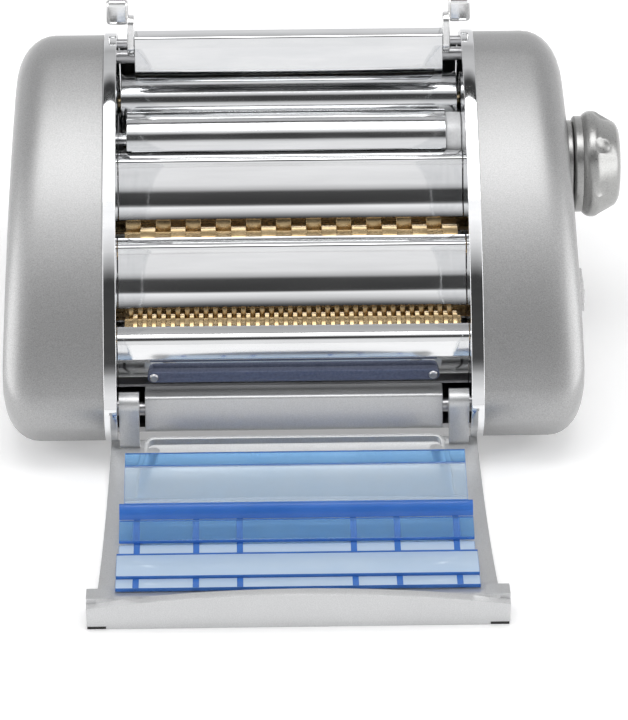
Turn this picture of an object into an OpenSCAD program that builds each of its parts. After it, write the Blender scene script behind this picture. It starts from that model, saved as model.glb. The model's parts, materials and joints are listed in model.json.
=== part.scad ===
// Electric pasta machine: smooth rollers, two cutter pairs, gear train,
// thickness regulator, feed flap, and a front door that carries the pasta slide.
// Frame: X to the right, Y to the back, Z up, origin on the table under the middle
// of the overall box. The modules are drawn about the middle plane, and placed() moves them.

/* [Body] */
// Clear width between the side frames
opening_w = 149.2; // [146:0.1:152]
// Radius of the arched front outline
front_r = 220; // [216:1:226]
// Height of the outline's lowest line over the table
body_bottom = 4; // [3.5:0.1:5]
// Sheet thickness of the side frames
frame_t = 2.5; // [2:0.1:2.8]
// Width of the bright rails on the side frames
rail_w = 5.4; // [5:0.1:6]
// Depth of the rails behind the outline
rail_depth = 3.5; // [3:0.1:4]
// Lower end of the rails
rail_tip_z = 9.5; // [9.3:0.1:11]
// Thickness of the base plate
base_t = 2.5; // [1.5:0.1:3]

/* [Casings] */
// Greatest half width, at the lower front
casing_half_w = 123.3; // [121:0.1:126]
// Loss of half width per millimetre to the back
taper_back = 0.023; // [0.01:0.001:0.03]
// Loss of half width per millimetre of height
taper_up = 0.028; // [0.01:0.001:0.035]
// Wall thickness of the casings
casing_wall = 2.5; // [1.8:0.1:3]
// Radius of the casings' outer edge
casing_edge_r = 16; // [12:0.5:18]
// Height of the rails over the casings
rail_proud = 1.2; // [0.8:0.1:1.6]

/* [Smooth rollers] */
// Radius of the smooth rollers
smooth_r = 13; // [12.5:0.1:13]
// Axis of the rear smooth roller, Y
smooth_y = 69.5; // [69:0.1:70]
// Axis height of the smooth rollers
smooth_z = 79; // [78.5:0.1:79.5]
// Widest gap between the smooth rollers
gap_widest = 2.3; // [2.3:0.1:2.6]
// Journal radius of every roller
journal_r = 4; // [3.5:0.1:4.3]
// Left end of the front smooth roller
front_roller_left = -70.9; // [-72:0.1:-70]
// Right end of the front smooth roller
front_roller_right = 67.8; // [66:0.1:68]
// Radius of the bushing beside the front roller
bushing_r = 11.5; // [10:0.1:11.8]

/* [Cutters] */
// Outer radius of the cutting discs
disc_r = 10.1; // [9.9:0.05:10.2]
// Radius of the grooves between the discs
groove_r = 7.9; // [7.5:0.05:8]
// Centre distance of a cutter pair
cutter_pair = 18.4; // [18.3:0.05:18.6]
// Width of the coarse ribbons
coarse_w = 6.5; // [6.3:0.1:6.6]
// Number of coarse discs on a roller
coarse_n = 11; // [9:1:11]
// Width of the fine ribbons
fine_w = 2; // [1.8:0.05:2.05]
// Number of fine discs on a roller
fine_n = 35; // [30:1:35]
// Axial clearance on each side of a disc
disc_gap = 0.06; // [0.04:0.01:0.1]
// Axis of the rear coarse cutter, Y
coarse_y = 13.4; // [13:0.1:13.6]
// Axis height of the coarse cutters
coarse_z = 54.5; // [54.3:0.1:54.8]
// Axis of the rear fine cutter, Y
fine_y = -26.6; // [-26.8:0.1:-26.4]
// Axis height of the fine cutters
fine_z = 38.5; // [38.3:0.1:38.7]

/* [Gears] */
// Width of the gears
gear_w = 5; // [4:0.1:5.2]
// Module of the distribution gears
train_m = 1.5; // [1.5:0.1:1.5]
// Pressure angle of the teeth
pressure = 25; // [24:1:26]
// Clearance between the tooth flanks
backlash = 0.3; // [0.25:0.05:0.4]

/* [Regulator] */
// Axis of the regulator shaft, Y
knob_y = 24; // [23.6:0.1:24.2]
// Axis height of the regulator shaft
knob_z = 77; // [76.8:0.1:77.4]
// Radius of the regulator shaft
regulator_r = 2.5; // [2.2:0.1:2.7]
// Radius of the eccentric discs
cam_r = 4.6; // [4.2:0.1:4.8]
// Throw of the eccentric discs
cam_throw = 1.04; // [0.9:0.02:1.1]
// Clearance of an eccentric disc in its slot
cam_gap = 0.28; // [0.25:0.01:0.32]
// Radius of the knob
knob_r = 23; // [20:0.5:24]
// Height of the knob
knob_h = 20; // [18:0.5:22]

/* [Door] */
// Axis of the door hinge, Y
hinge_y = -73.6; // [-73.8:0.1:-73.4]
// Axis height of the door hinge
hinge_z = 24.9; // [24.8:0.1:25.1]
// Angle between the closed and the open door
door_swing = 138.5; // [138:0.1:138.7]
// Thickness of the door
door_t = 2.5; // [2:0.1:2.8]
// Gap between the closed door and the rails
door_gap = 0.8; // [0.6:0.1:1.2]
// Half width of the door at the hinge
door_back_half = 77.5; // [76:0.5:79]
// Half width of the door at the lip
door_front_half = 82; // [80:0.5:83]
// Half width of the lip
lip_half = 86; // [85:0.5:88]
// Height of the lip at its middle
lip_h = 17.6; // [16:0.2:18]
// Height of the lip at its ends
lip_end_h = 11; // [10:0.2:13]
// Wall of the clear slide
slide_t = 1.6; // [1.2:0.1:2]

/* [Feed flap] */
// Pivot of the flap, Y
flap_y = 70; // [69.8:0.1:70.2]
// Pivot height of the flap
flap_z = 111; // [110.8:0.1:111.2]
// Radius of the flap's barrel
flap_barrel_r = 4; // [3.5:0.1:4.2]
// Thickness of the bent chrome sheets
sheet_t = 1.2; // [1:0.1:1.3]

/* [Fits] */
// Radial clearance of a running fit
run = 0.05; // [0.03:0.01:0.08]
// Clearance of pieces that are fitted together
fit = 0.02; // [0.01:0.01:0.04]
// Clearance between a scraper and its roller
scrape = 0.3; // [0.2:0.05:0.5]

/* [Hidden] */
$fn = 64;

half = opening_w / 2;             // inner face of a side frame
frame_out = half + frame_t;       // outer face of a side frame
rail_out = half + rail_w;         // outer side of a rail, where the casing starts

// ---- outline of the body in the Y-Z plane ----
front_c = [92, -95];              // centre of the front arch
top_r = 36;                       // radius at the top of the back
nose_r = 18;                      // radius at the lower front
toe_r = 9;                        // radius at the bottom front
heel_r = 10;                      // radius at the bottom back
top_a = 102;                      // where the front arch meets the top radius
nose_a = 142.9;                   // where the front arch meets the lower front

function at(c, r, a) = [c[0] + r * cos(a), c[1] + r * sin(a)];
function arc(c, r, a0, a1, n) = [for (i = [0:n]) at(c, r, a0 + (a1 - a0) * i / n)];
function reverse(v) = [for (i = [len(v) - 1:-1:0]) v[i]];
function unit(v) = v / norm(v);
function angle_of(v) = atan2(v[1], v[0]);

top_c = at(front_c, front_r - top_r, top_a);
nose_c = at(front_c, front_r - nose_r, nose_a);
toe_c = [-71, body_bottom + toe_r];
heel_c = [top_c[0] + top_r - heel_r, body_bottom + heel_r];
toe_dir = toe_c - nose_c;
toe_a = angle_of(toe_dir) - acos((nose_r - toe_r) / norm(toe_dir));
back_y = top_c[0] + top_r;

// The outline, moved inwards by d; it runs over the top to the back
function outline(d = 0) = concat(
  arc(front_c, front_r - d, nose_a, top_a, 16),
  arc(top_c, top_r - d, top_a, 0, 14),
  arc(heel_c, heel_r - d, 0, -90, 5),
  arc(toe_c, toe_r - d, -90, toe_a, 5),
  arc(nose_c, nose_r - d, toe_a, nose_a - 360, 6)
);

// Outer half width of a casing at one point of its side
function casing_x(y, z) = casing_half_w - taper_back * (y + 80) - taper_up * (z - 30);

// ---- helpers ----
// Extrudes a Y-Z drawing from x0 to x1
module along_x(x0, x1) {
  translate([x0, 0, 0]) rotate([90, 0, 90]) linear_extrude(x1 - x0) children();
}

// Turns a profile of [radius, x] points about an X axis at y, z
module turned(y, z, points) {
  translate([0, y, z]) rotate([0, 90, 0]) rotate_extrude() polygon(points);
}

module rod(y, z, r, x0, x1) {
  translate([x0, y, z]) rotate([0, 90, 0]) cylinder(r = r, h = x1 - x0);
}

module ring(y, z, r_out, r_in, x0, x1) {
  difference() {
    rod(y, z, r_out, x0, x1);
    rod(y, z, r_in, x0 - 1, x1 + 1);
  }
}

// Both sides of a symmetric piece
module both_sides() {
  children();
  mirror([1, 0, 0]) children();
}

// Rounds the corners of an open path of [y, z, radius] points
function rounded(path) = [
  for (i = [0:len(path) - 1])
    let (p = [path[i][0], path[i][1]])
    if (i == 0 || i == len(path) - 1 || path[i][2] == 0) p
    else
      let (
        to_last = unit([path[i - 1][0], path[i - 1][1]] - p),
        to_next = unit([path[i + 1][0], path[i + 1][1]] - p),
        half_a = acos(to_last * to_next) / 2,
        r = path[i][2],
        c = p + unit(to_last + to_next) * r / sin(half_a),
        a0 = angle_of(p + to_last * r / tan(half_a) - c),
        turn = angle_of(p + to_next * r / tan(half_a) - c) - a0,
        sweep = turn > 180 ? turn - 360 : turn < -180 ? turn + 360 : turn
      )
      each arc(c, r, a0, a0 + sweep, 8)
];

// Offsets an open path to its right by t
function beside(path, t) = [
  for (i = [0:len(path) - 1])
    let (
      before = i == 0 ? path[1] - path[0] : path[i] - path[i - 1],
      after = i == len(path) - 1 ? before : path[i + 1] - path[i],
      n0 = unit([before[1], -before[0]]),
      n1 = unit([after[1], -after[0]]),
      n = unit(n0 + n1)
    )
    path[i] + n * t / (n * n0)
];

// A bent sheet: its outer face follows the path, its thickness lies to the right
module bent_sheet(path, t, x0, x1) {
  outer = rounded(path);
  along_x(x0, x1) polygon(concat(outer, reverse(beside(outer, t))));
}

// A band between two radii
function band(c, r0, r1, a0, a1, n = 12) = concat(arc(c, r0, a0, a1, n), arc(c, r1, a1, a0, n));

// The outline round two circles
function capsule(c1, r1, c2, r2) =
  let (
    a = angle_of(c2 - c1),
    open = acos((r1 - r2) / norm(c2 - c1))
  )
  concat(arc(c2, r2, a - open, a + open, 10), arc(c1, r1, a + open, a + 360 - open, 14));

function square_of(w, d, r) = concat(
  arc([w / 2 - r, d / 2 - r], r, 0, 90, 6), arc([r - w / 2, d / 2 - r], r, 90, 180, 6),
  arc([r - w / 2, r - d / 2], r, 180, 270, 6), arc([w / 2 - r, r - d / 2], r, 270, 360, 6)
);

// ---- gears ----
function involute(rb, r) = let (a = acos(min(1, rb / r))) tan(a) * 180 / PI - a;

// Angle of gear b's tooth that meshes with gear a, in the direction dir from a to b
function mesh_angle(angle_a, n_a, dir, n_b) = dir + 180 + (0.5 - (angle_a - dir) * n_a / 360) * 360 / n_b;

function gear_points(n, m, add) =
  let (
    rp = n * m / 2, rb = rp * cos(pressure), ra = rp + add, rr = rp - add - 0.25 * m,
    rs = max(rb, rr), half_t = 90 / n - backlash / 2 / rp * 90 / PI,
    flank = [for (k = [0:4]) let (r = rs + (ra - rs) * k / 4) [r, half_t + involute(rb, rp) - involute(rb, r)]],
    root = flank[0][1]
  )
  [for (i = [0:n - 1]) let (c = 360 / n * i) each concat(
    [at([0, 0], rr, c - root)], [for (f = flank) at([0, 0], f[0], c - f[1])],
    [for (f = reverse(flank)) at([0, 0], f[0], c + f[1])], [at([0, 0], rr, c + root)]
  )];

module gear_blank(y, z, n, m, add, angle, x0, x1, bore) {
  difference() {
    translate([0, y, z]) along_x(x0, x1) rotate(angle) polygon(gear_points(n, m, add));
    rod(y, z, bore, x0 - 1, x1 + 1);
    if (n > 20) for (i = [0:4]) let (p = at([y, z], n * m * 0.31, 72 * i + angle)) rod(p[0], p[1], m * 2.6, x0 - 1, x1 + 1);
  }
}

// Where two pitch circles round a and b meet, on the right or left of the line from a to b
function between(a, ra, b, rb, side) =
  let (d = norm(b - a), u = unit(b - a), k = (ra * ra - rb * rb + d * d) / 2 / d, h = sqrt(ra * ra - k * k))
  a + u * k + [u[1], -u[0]] * h * side;

smooth_pair = 2 * smooth_r + gap_widest - 2.0;   // centre distance when closed
front_y = smooth_y - 2 * smooth_r - gap_widest;  // front smooth roller at rest
coarse_front_y = coarse_y - cutter_pair;
fine_front_y = fine_y - cutter_pair;
pair_n = 14;
smooth_m = smooth_pair / pair_n;
cutter_m = cutter_pair / pair_n;
drive_n = 20;
upper_n = 27;
lower_n = 24;
small_n = 12;
layer_1 = -frame_out - 4.9 - gear_w;             // pair gears
layer_2 = layer_1 - 1.5 - gear_w;                // distribution gears
axle_end = layer_2 - 1;

smooth_c = [smooth_y, smooth_z];
coarse_c = [coarse_y, coarse_z];
fine_c = [fine_y, fine_z];
upper_c = between(smooth_c, (drive_n + upper_n) * train_m / 2, coarse_c, (upper_n + small_n) * train_m / 2, -1);
lower_c = between(coarse_c, (small_n + lower_n) * train_m / 2, fine_c, (small_n + lower_n) * train_m / 2, -1);
motor_c = at(upper_c, (upper_n + small_n) * train_m / 2, -60);

upper_a = mesh_angle(0, drive_n, angle_of(upper_c - smooth_c), upper_n);
coarse_a = mesh_angle(upper_a, upper_n, angle_of(coarse_c - upper_c), small_n);
motor_a = mesh_angle(upper_a, upper_n, -60, small_n);
lower_a = mesh_angle(coarse_a, small_n, angle_of(lower_c - coarse_c), lower_n);
fine_a = mesh_angle(lower_a, lower_n, angle_of(fine_c - lower_c), small_n);
long_add = 1.15 * smooth_m;
pair_gap_a = 180 / pair_n;

module pair_gear(y, z, m, add, angle) {
  gear_blank(y, z, pair_n, m, add, angle, layer_1, layer_1 + gear_w, journal_r + fit);
}

module double_gear(y, z, n, m, add, angle) {
  pair_gear(y, z, m, add, pair_gap_a);
  ring(y, z, 6, journal_r + fit, layer_2 + gear_w, layer_1);
  gear_blank(y, z, n, train_m, train_m, angle, layer_2, layer_2 + gear_w, journal_r + fit);
}

module smooth_rear_gear() color("gainsboro") double_gear(smooth_y, smooth_z, drive_n, smooth_m, long_add, 0);
module smooth_front_gear() color("gainsboro") pair_gear(front_y, smooth_z, smooth_m, long_add, 0);
module coarse_rear_gear() color("gainsboro") double_gear(coarse_y, coarse_z, small_n, cutter_m, cutter_m, coarse_a);
module coarse_front_gear() color("gainsboro") pair_gear(coarse_front_y, coarse_z, cutter_m, cutter_m, 0);
module fine_rear_gear() color("gainsboro") double_gear(fine_y, fine_z, small_n, cutter_m, cutter_m, fine_a);
module fine_front_gear() color("gainsboro") pair_gear(fine_front_y, fine_z, cutter_m, cutter_m, 0);

axle_r = 3;
module idler(c, n, angle) gear_blank(c[0], c[1], n, train_m, train_m, angle, layer_2, layer_2 + gear_w, axle_r + run);
module idler_gear_upper() color("ivory") idler(upper_c, upper_n, upper_a);
module idler_gear_lower() color("ivory") idler(lower_c, lower_n, lower_a);
module idler_axles() color("silver") for (c = [upper_c, lower_c]) {
  rod(c[0], c[1], axle_r, axle_end, -frame_out);
  rod(c[0], c[1], axle_r + 2, layer_2 + gear_w + 0.3, -frame_out);
}

motor_shaft_r = 2.5;
module motor_pinion() color("gainsboro") {
  gear_blank(motor_c[0], motor_c[1], small_n, train_m, train_m, motor_a, layer_2, layer_2 + gear_w, motor_shaft_r);
  rod(motor_c[0], motor_c[1], motor_shaft_r, axle_end, -half + 3);
}

// ---- rollers ----
module roller(y, z, r, x0, x1, left, right) {
  turned(y, z, [[0, left], [journal_r, left], [journal_r, x0], [r - 0.6, x0], [r, x0 + 0.6],
    [r, x1 - 0.6], [r - 0.6, x1], [journal_r, x1], [journal_r, right], [0, right]]);
}

bush_out = 3.4;                   // length of a bush outside its frame
module smooth_roller_rear() color("silver")
  roller(smooth_y, smooth_z, smooth_r, -half + 0.8, half - 0.8, axle_end, frame_out + bush_out);
module smooth_roller_front() color("silver")
  roller(front_y, smooth_z, smooth_r, front_roller_left, front_roller_right, layer_1 - 0.5, frame_out + bush_out);

module cutter(y, z, n, w, shift, left) {
  d = w / 2 - disc_gap;
  body_end = max((n - 1) * w + abs(shift) + w / 2 + 0.3, half - 3);
  discs = [for (i = [0:n - 1]) let (c = (i - (n - 1) / 2) * 2 * w + shift)
    each [[groove_r, c - d], [disc_r, c - d], [disc_r, c + d], [groove_r, c + d]]];
  turned(y, z, concat([[0, left], [journal_r, left], [journal_r, -body_end], [groove_r, -body_end]], discs,
    [[groove_r, body_end], [journal_r, body_end], [journal_r, frame_out + bush_out], [0, frame_out + bush_out]]));
}

module coarse_cutter_rear() color("goldenrod") cutter(coarse_y, coarse_z, coarse_n, coarse_w, -coarse_w / 2, axle_end);
module coarse_cutter_front() color("goldenrod")
  cutter(coarse_front_y, coarse_z, coarse_n, coarse_w, coarse_w / 2, layer_1 - 0.5);
module fine_cutter_rear() color("goldenrod") cutter(fine_y, fine_z, fine_n, fine_w, -fine_w / 2, axle_end);
module fine_cutter_front() color("goldenrod") cutter(fine_front_y, fine_z, fine_n, fine_w, fine_w / 2, layer_1 - 0.5);

// A comb below a cutter: a curved bar with a finger in each groove
module comb(y, z, n, w, shift, a0, a1) {
  along_x(-half, half) polygon(band([y, z], disc_r + 0.5, disc_r + 2.6, a0, a1, 6));
  for (i = [1:n - 1]) let (c = (i - n / 2) * 2 * w + shift)
    along_x(c - w / 2 + scrape, c + w / 2 - scrape)
      polygon(band([y, z], groove_r + scrape, disc_r + 0.6, a0 + (a1 - a0) * 0.3, a1, 4));
}

module coarse_comb_front() color("silver") comb(coarse_front_y, coarse_z, coarse_n, coarse_w, coarse_w / 2, 205, 245);
module coarse_comb_rear() color("silver") comb(coarse_y, coarse_z, coarse_n, coarse_w, -coarse_w / 2, 335, 295);
module fine_comb_front() color("silver") comb(fine_front_y, fine_z, fine_n, fine_w, fine_w / 2, 205, 245);
module fine_comb_rear() color("silver") comb(fine_y, fine_z, fine_n, fine_w, -fine_w / 2, 335, 295);

module smooth_scrapers() color("silver") {
  along_x(-half, half) polygon(band([front_y, smooth_z], smooth_r + scrape, smooth_r + 1.8, 222, 246, 6));
  along_x(-half, half) polygon(band(smooth_c, smooth_r + scrape, smooth_r + 1.8, 300, 324, 6));
}

// ---- movable bearing of the front smooth roller ----
block_half_y = 8.5;
block_half_z = 8;
travel = 2.0;                     // way of the front roller from widest to closest
cheek_t = 4;
rest_cam_a = 195;                 // direction of the cams' throw at rest

module bearing_block() {
  difference() {
    union() {
      along_x(half - 0.1, frame_out + 0.3)
        translate([front_y - block_half_y, smooth_z - block_half_z]) square([2 * block_half_y, 2 * block_half_z]);
      along_x(frame_out + 0.2, frame_out + 0.2 + cheek_t)
        translate([knob_y - 7.5, smooth_z - 10]) square([front_y + 10 - knob_y + 7.5, 20]);
    }
    rod(front_y, smooth_z, journal_r + run, half - 1, frame_out + 6);
    along_x(frame_out, frame_out + 6)
      translate([knob_y - cam_throw * cos(15) - cam_r - cam_gap, knob_z - cam_r - cam_throw - 0.6])
        square([2 * (cam_r + cam_gap), 2 * (cam_r + cam_throw + 0.6)]);
  }
}

module bearing_block_right() color("gray") bearing_block();
module bearing_block_left() color("gray") mirror([1, 0, 0]) bearing_block();
module roller_bushing() color("white")
  ring(front_y, smooth_z, bushing_r, journal_r + run, front_roller_right + 0.1, half - 0.1);

knob_x = 122.3;                   // back of the knob
key_half = 2;                     // half width of the square end of the shaft
module regulator_shaft() color("silver") {
  cam_c = at([knob_y, knob_z], cam_throw, rest_cam_a);
  rod(knob_y, knob_z, regulator_r, -frame_out - cheek_t - 0.2, knob_x - 0.2);
  for (x = [frame_out + 0.4, -frame_out - cheek_t]) rod(cam_c[0], cam_c[1], cam_r, x, x + cheek_t - 0.4);
  along_x(knob_x - 0.3, knob_x + knob_h - 6)
    translate([knob_y - key_half, knob_z - key_half]) square(2 * key_half);
}

module thickness_knob() color("silver") {
  difference() {
    turned(knob_y, knob_z, concat(
      [[0, knob_x], [knob_r - 3, knob_x], [knob_r - 2.2, knob_x + 0.8], [knob_r - 2.2, knob_x + 3.6]],
      arc([knob_r - 5, knob_x + 8], 5, -60, 45, 6),
      arc([knob_r - 10, knob_x + knob_h - 7], 7, 45, 90, 5), [[0, knob_x + knob_h]]
    ));
    along_x(knob_x - 1, knob_x + knob_h - 5)
      translate([knob_y - key_half - run, knob_z - key_half - run]) square(2 * (key_half + run));
    for (i = [0:6]) let (p = at([knob_y, knob_z], knob_r + 6.5, 360 / 7 * i + 20))
      translate([knob_x + knob_h - 4, p[0], p[1]]) sphere(r = 10);
  }
}

flange_r = 19;
sleeve_r = 9.8;
knob_bearing_x = casing_x(knob_y, knob_z) - 0.4;
module knob_bearing() color("silver") {
  ring(knob_y, knob_z, flange_r, regulator_r + run, knob_bearing_x, knob_x - 0.4);
  ring(knob_y, knob_z, sleeve_r, regulator_r + run, knob_bearing_x - 8, knob_bearing_x);
}

// ---- frame, rails and cross members ----
bush_hole_r = 6;
regulator_bush_r = 4.2;
rod_r = 3;
thread_r = 2;
fixed_axes = [smooth_c, coarse_c, [coarse_front_y, coarse_z], fine_c, [fine_front_y, fine_z]];
rod_axes = [[-64, 15], [0, 15], [80, 14], at(top_c, top_r - 8, 28)];
pin_r = 2;
hinge_c = [hinge_y, hinge_z];
flap_c = [flap_y, flap_z];
frame_bottom = body_bottom + 4;

module side_frame() {
  difference() {
    along_x(half, frame_out) difference() {
      polygon(outline(rail_depth));
      translate([-150, -20]) square([300, 20 + frame_bottom]);
      translate([front_y - block_half_y - 0.3, smooth_z - block_half_z - 0.05])
        square([2 * block_half_y + travel + 0.6, 2 * block_half_z + 0.1]);
    }
    for (c = fixed_axes) rod(c[0], c[1], bush_hole_r + fit, half - 1, frame_out + 1);
    rod(knob_y, knob_z, regulator_bush_r + fit, half - 1, frame_out + 1);
    for (c = concat(rod_axes, [hinge_c, flap_c]))
      rod(c[0], c[1], thread_r + fit, half - 1, frame_out + 1);
  }
}

module side_frame_right() color("silver") side_frame();
module side_frame_left() color("silver") difference() {
  mirror([1, 0, 0]) side_frame();
  rod(motor_c[0], motor_c[1], motor_shaft_r + 2, -frame_out - 1, -half + 1);
}

module rail() difference() {
  along_x(half, rail_out) difference() {
    polygon(outline(0));
    polygon(outline(rail_depth));
    translate([-150, -20]) square([300, 20 + rail_tip_z]);
  }
  for (c = [hinge_c, flap_c]) rod(c[0], c[1], pin_r + 1.9, half - 1, frame_out + 1.5);
}
module rail_right() color("white") rail();
module rail_left() color("white") mirror([1, 0, 0]) rail();

module frame_bushes() color("peru") both_sides() {
  for (c = fixed_axes) ring(c[0], c[1], bush_hole_r, journal_r + run, half + 0.1, frame_out + bush_out - 0.4);
  ring(knob_y, knob_z, regulator_bush_r, regulator_r + run, half + 0.1, frame_out);
}

module tie_rods() color("silver") for (c = rod_axes) {
  rod(c[0], c[1], rod_r, -half, half);
  rod(c[0], c[1], thread_r, -frame_out - 4, frame_out + 4);
}
module tie_rod_nuts() color("gray") both_sides() for (c = rod_axes) difference() {
  translate([frame_out, c[0], c[1]]) rotate([0, 90, 0]) cylinder(r = 4, h = 2.8, $fn = 6);
  rod(c[0], c[1], thread_r + fit, frame_out - 1, frame_out + 4);
}

arm_in = 65.6;                    // inner side of a hinge arm
arm_out = half - 0.6;             // outer side of a hinge arm
module stub_pin(c, x0) {
  rod(c[0], c[1], pin_r, x0, frame_out + 1);
  rod(c[0], c[1], pin_r + 1.6, frame_out, frame_out + 1.2);
}
module hinge_pins() color("silver") both_sides() stub_pin(hinge_c, arm_in + 0.6);
module flap_pivot_pins() color("silver") both_sides() stub_pin(flap_c, arm_in - 3);

base_top = frame_bottom;
module base_plate() color("darkgray") along_x(-rail_out + 0.1, rail_out - 0.1)
  translate([-68, base_top - base_t]) square([152, base_t]);

module rear_cover() color("silver") difference() {
  along_x(-half + 0.2, half - 0.2) difference() {
    polygon(outline(1));
    polygon(outline(2.8));
    translate([-150, -20]) square([300, 20 + base_top]);
    polygon([[-150, -20], [60, -20], at(top_c, 30, 48), at(top_c, 60, 48), [60, 200], [-150, 200]]);
  }
  both_sides() rod(flap_y, flap_z, 16, arm_in + 1.4, half + 1);
}

sill_z = 22.6;
apron_half = 63.3;
module front_apron() color("silver")
  bent_sheet([[-64, base_top, 0], [-72.8, base_top, 1.4], [-66.4, sill_z, 2], [-57, sill_z, 0]], sheet_t,
    -apron_half, apron_half);

// ---- guide plates ----
plate_half = half - 0.2;
module upper_guide_plate() color("white")
  bent_sheet([[6.5, 64.3, 0], [19.2, 68.8, 2.2], [18.2, 82.9, 5.5], [27.2, 82.3, 0]], sheet_t, -plate_half, plate_half);
module middle_guide_plate() color("white")
  bent_sheet([[-34, 48.3, 0], [-21.6, 52.3, 2.2], [-20.7, 64.6, 6], [-12.4, 65.4, 0]], sheet_t, -plate_half, plate_half);
flange_y = -59.2;
module lower_guide_plate() color("white")
  bent_sheet([[flange_y, 28.4, 0], [flange_y, 36.6, 0.8], [-61, 38.8, 1.3], [-58.6, 48.6, 4.5], [-51.6, 49.6, 0]],
    sheet_t, -plate_half, plate_half);

bar_half = 62;
bar_h = 5.4;
bar_t = 3;
bar_z = 30.3;
module exit_bar() color("slategray") difference() {
  translate([0, flange_y, bar_z]) rotate([90, 0, 0]) linear_extrude(bar_t) union() {
    square([2 * bar_half - bar_h, bar_h], center = true);
    for (x = [-1, 1]) translate([x * (bar_half - bar_h / 2), 0]) circle(bar_h / 2);
  }
  for (x = [-1, 1]) translate([x * (bar_half - bar_h / 2), flange_y + 1, bar_z]) rotate([90, 0, 0]) cylinder(r = 1.2, h = 9);
}
module exit_bar_screws() color("silver") for (x = [-1, 1])
  translate([x * (bar_half - bar_h / 2), flange_y, bar_z]) rotate([90, 0, 0]) {
    cylinder(r = 1.2 - fit, h = bar_t);
    translate([0, 0, bar_t]) cylinder(r1 = 2.1, r2 = 1.6, h = 0.9, $fn = 32);
  }

module inner_chute() color("silver")
  bent_sheet([[-58.5, sill_z + sheet_t, 0], [-14, 25.4, 10], [22, 33, 10], [52, 54, 10], [84, 66, 0]], sheet_t,
    -plate_half, plate_half);

// ---- drive ----
motor_r = 17.5;
motor_len = 62;
module motor() color("dimgray") difference() {
  turned(motor_c[0], motor_c[1], [[0, -half + 0.1], [motor_r + 1, -half + 0.1], [motor_r + 1, -half + 15],
    [motor_r, -half + 16], [motor_r, -half + 15 + motor_len - 2], [motor_r - 2, -half + 15 + motor_len],
    [5, -half + 15 + motor_len], [5, -half + 17 + motor_len], [0, -half + 17 + motor_len]]);
  rod(motor_c[0], motor_c[1], motor_shaft_r + run, -half - 1, -half + 3.2);
}
module motor_cradle() color("gray") along_x(-12, -6) difference() {
  translate([motor_c[0] - motor_r - 2, base_top]) square([2 * motor_r + 4, motor_c[1] - base_top - 4]);
  translate(motor_c) circle(motor_r + fit);
}

// ---- casings ----
casing_c = [3, 62];               // centre that the rounding rings shrink towards
casing_half = [88, 58];
rounding = [for (a = [0:11.25:90]) a];

function casing_ring(inset, depth, flat = false) = [
  for (p = outline(0))
    let (
      y = casing_c[0] + (p[0] - casing_c[0]) * (1 - inset / casing_half[0]),
      z = casing_c[1] + (p[1] - casing_c[1]) * (1 - inset / casing_half[1])
    )
    [flat ? rail_out : casing_x(y, z) - depth, y, z]
];
function casing_rings(wall) = let (r = casing_edge_r - wall) concat(
  [casing_ring(rail_proud + wall, 0, true)],
  [for (a = rounding) casing_ring(rail_proud + wall + r * (1 - cos(a)), wall + r * (1 - sin(a)))]
);

// A shell between two sets of rings that is open at its first ring
module ring_shell(outer, inner) {
  n = len(outer[0]);
  m = len(outer);
  function o(k, i) = k * n + i % n;
  function q(k, i) = (m + k) * n + i % n;
  function quad(a, b, c, d) = [[a, b, c], [a, c, d]];
  polyhedron(
    points = [for (r = concat(outer, inner)) each r],
    faces = concat(
      [for (k = [0:m - 2]) for (i = [0:n - 1]) each quad(o(k, i), o(k, i + 1), o(k + 1, i + 1), o(k + 1, i))],
      [for (k = [0:m - 2]) for (i = [0:n - 1]) each quad(q(k, i), q(k + 1, i), q(k + 1, i + 1), q(k, i + 1))],
      [for (i = [0:n - 1]) each quad(o(0, i + 1), o(0, i), q(0, i), q(0, i + 1))],
      [[for (i = [0:n - 1]) o(m - 1, i)], [for (i = [n - 1:-1:0]) q(m - 1, i)]]
    )
  );
}
module casing_shell() ring_shell(casing_rings(0), casing_rings(casing_wall));

switch_c = [-20, 42];
switch_w = 26;
switch_h = 15;
inlet_x = 97;
inlet_z = 22;
module on_outer_face(c) translate([casing_x(c[0], c[1]), c[0], c[1]])
  rotate([0, -atan(taper_up), atan(taper_back)]) children();

module casing_left() color("silver") mirror([1, 0, 0]) casing_shell();
module casing_right() color("silver") difference() {
  casing_shell();
  rod(knob_y, knob_z, flange_r + fit, knob_bearing_x, knob_bearing_x + 4);
  rod(knob_y, knob_z, sleeve_r + fit, knob_bearing_x - 9, knob_bearing_x + 1);
  on_outer_face(switch_c) cube([20, switch_w, switch_h], center = true);
  translate([inlet_x, back_y - 20, inlet_z]) rotate([-90, 0, 0]) cylinder(r = 5 + fit, h = 30);
}

module switch_housing() color("dimgray") on_outer_face(switch_c) difference() {
  union() {
    translate([-4.9, 0, 0]) cube([9.8, switch_w - 0.1, switch_h - 0.1], center = true);
    translate([0.6, 0, 0]) cube([1.2, switch_w + 4, switch_h + 4], center = true);
  }
  translate([-3, 0, 0]) cube([11, switch_w - 6, switch_h - 4], center = true);
}
rocker_r = 10.6;
module power_rocker() color("white") on_outer_face(switch_c) intersection() {
  translate([rocker_r - 13, 0, 0]) rotate([0, 0, 6]) difference() {
    cylinder(r = rocker_r, h = switch_h - 5, center = true);
    translate([rocker_r + 1, 0, 0]) cylinder(r = rocker_r - 5.6, h = switch_h, center = true);
    translate([-rocker_r, 0, 0]) cube([2 * rocker_r, 3 * rocker_r, switch_h], center = true);
  }
  cube([8, switch_w - 8.4, switch_h], center = true);
}

module cord_inlet() color("dimgray") difference() {
  translate([inlet_x, back_y - 8, inlet_z]) rotate([-90, 0, 0]) union() {
    cylinder(r = 5, h = 9.5);
    translate([0, 0, 8.3 - rail_proud]) cylinder(r = 7, h = 2.1);
  }
  translate([inlet_x, back_y - 9, inlet_z]) rotate([-90, 0, 0]) cylinder(r = 3, h = 20);
}

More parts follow.
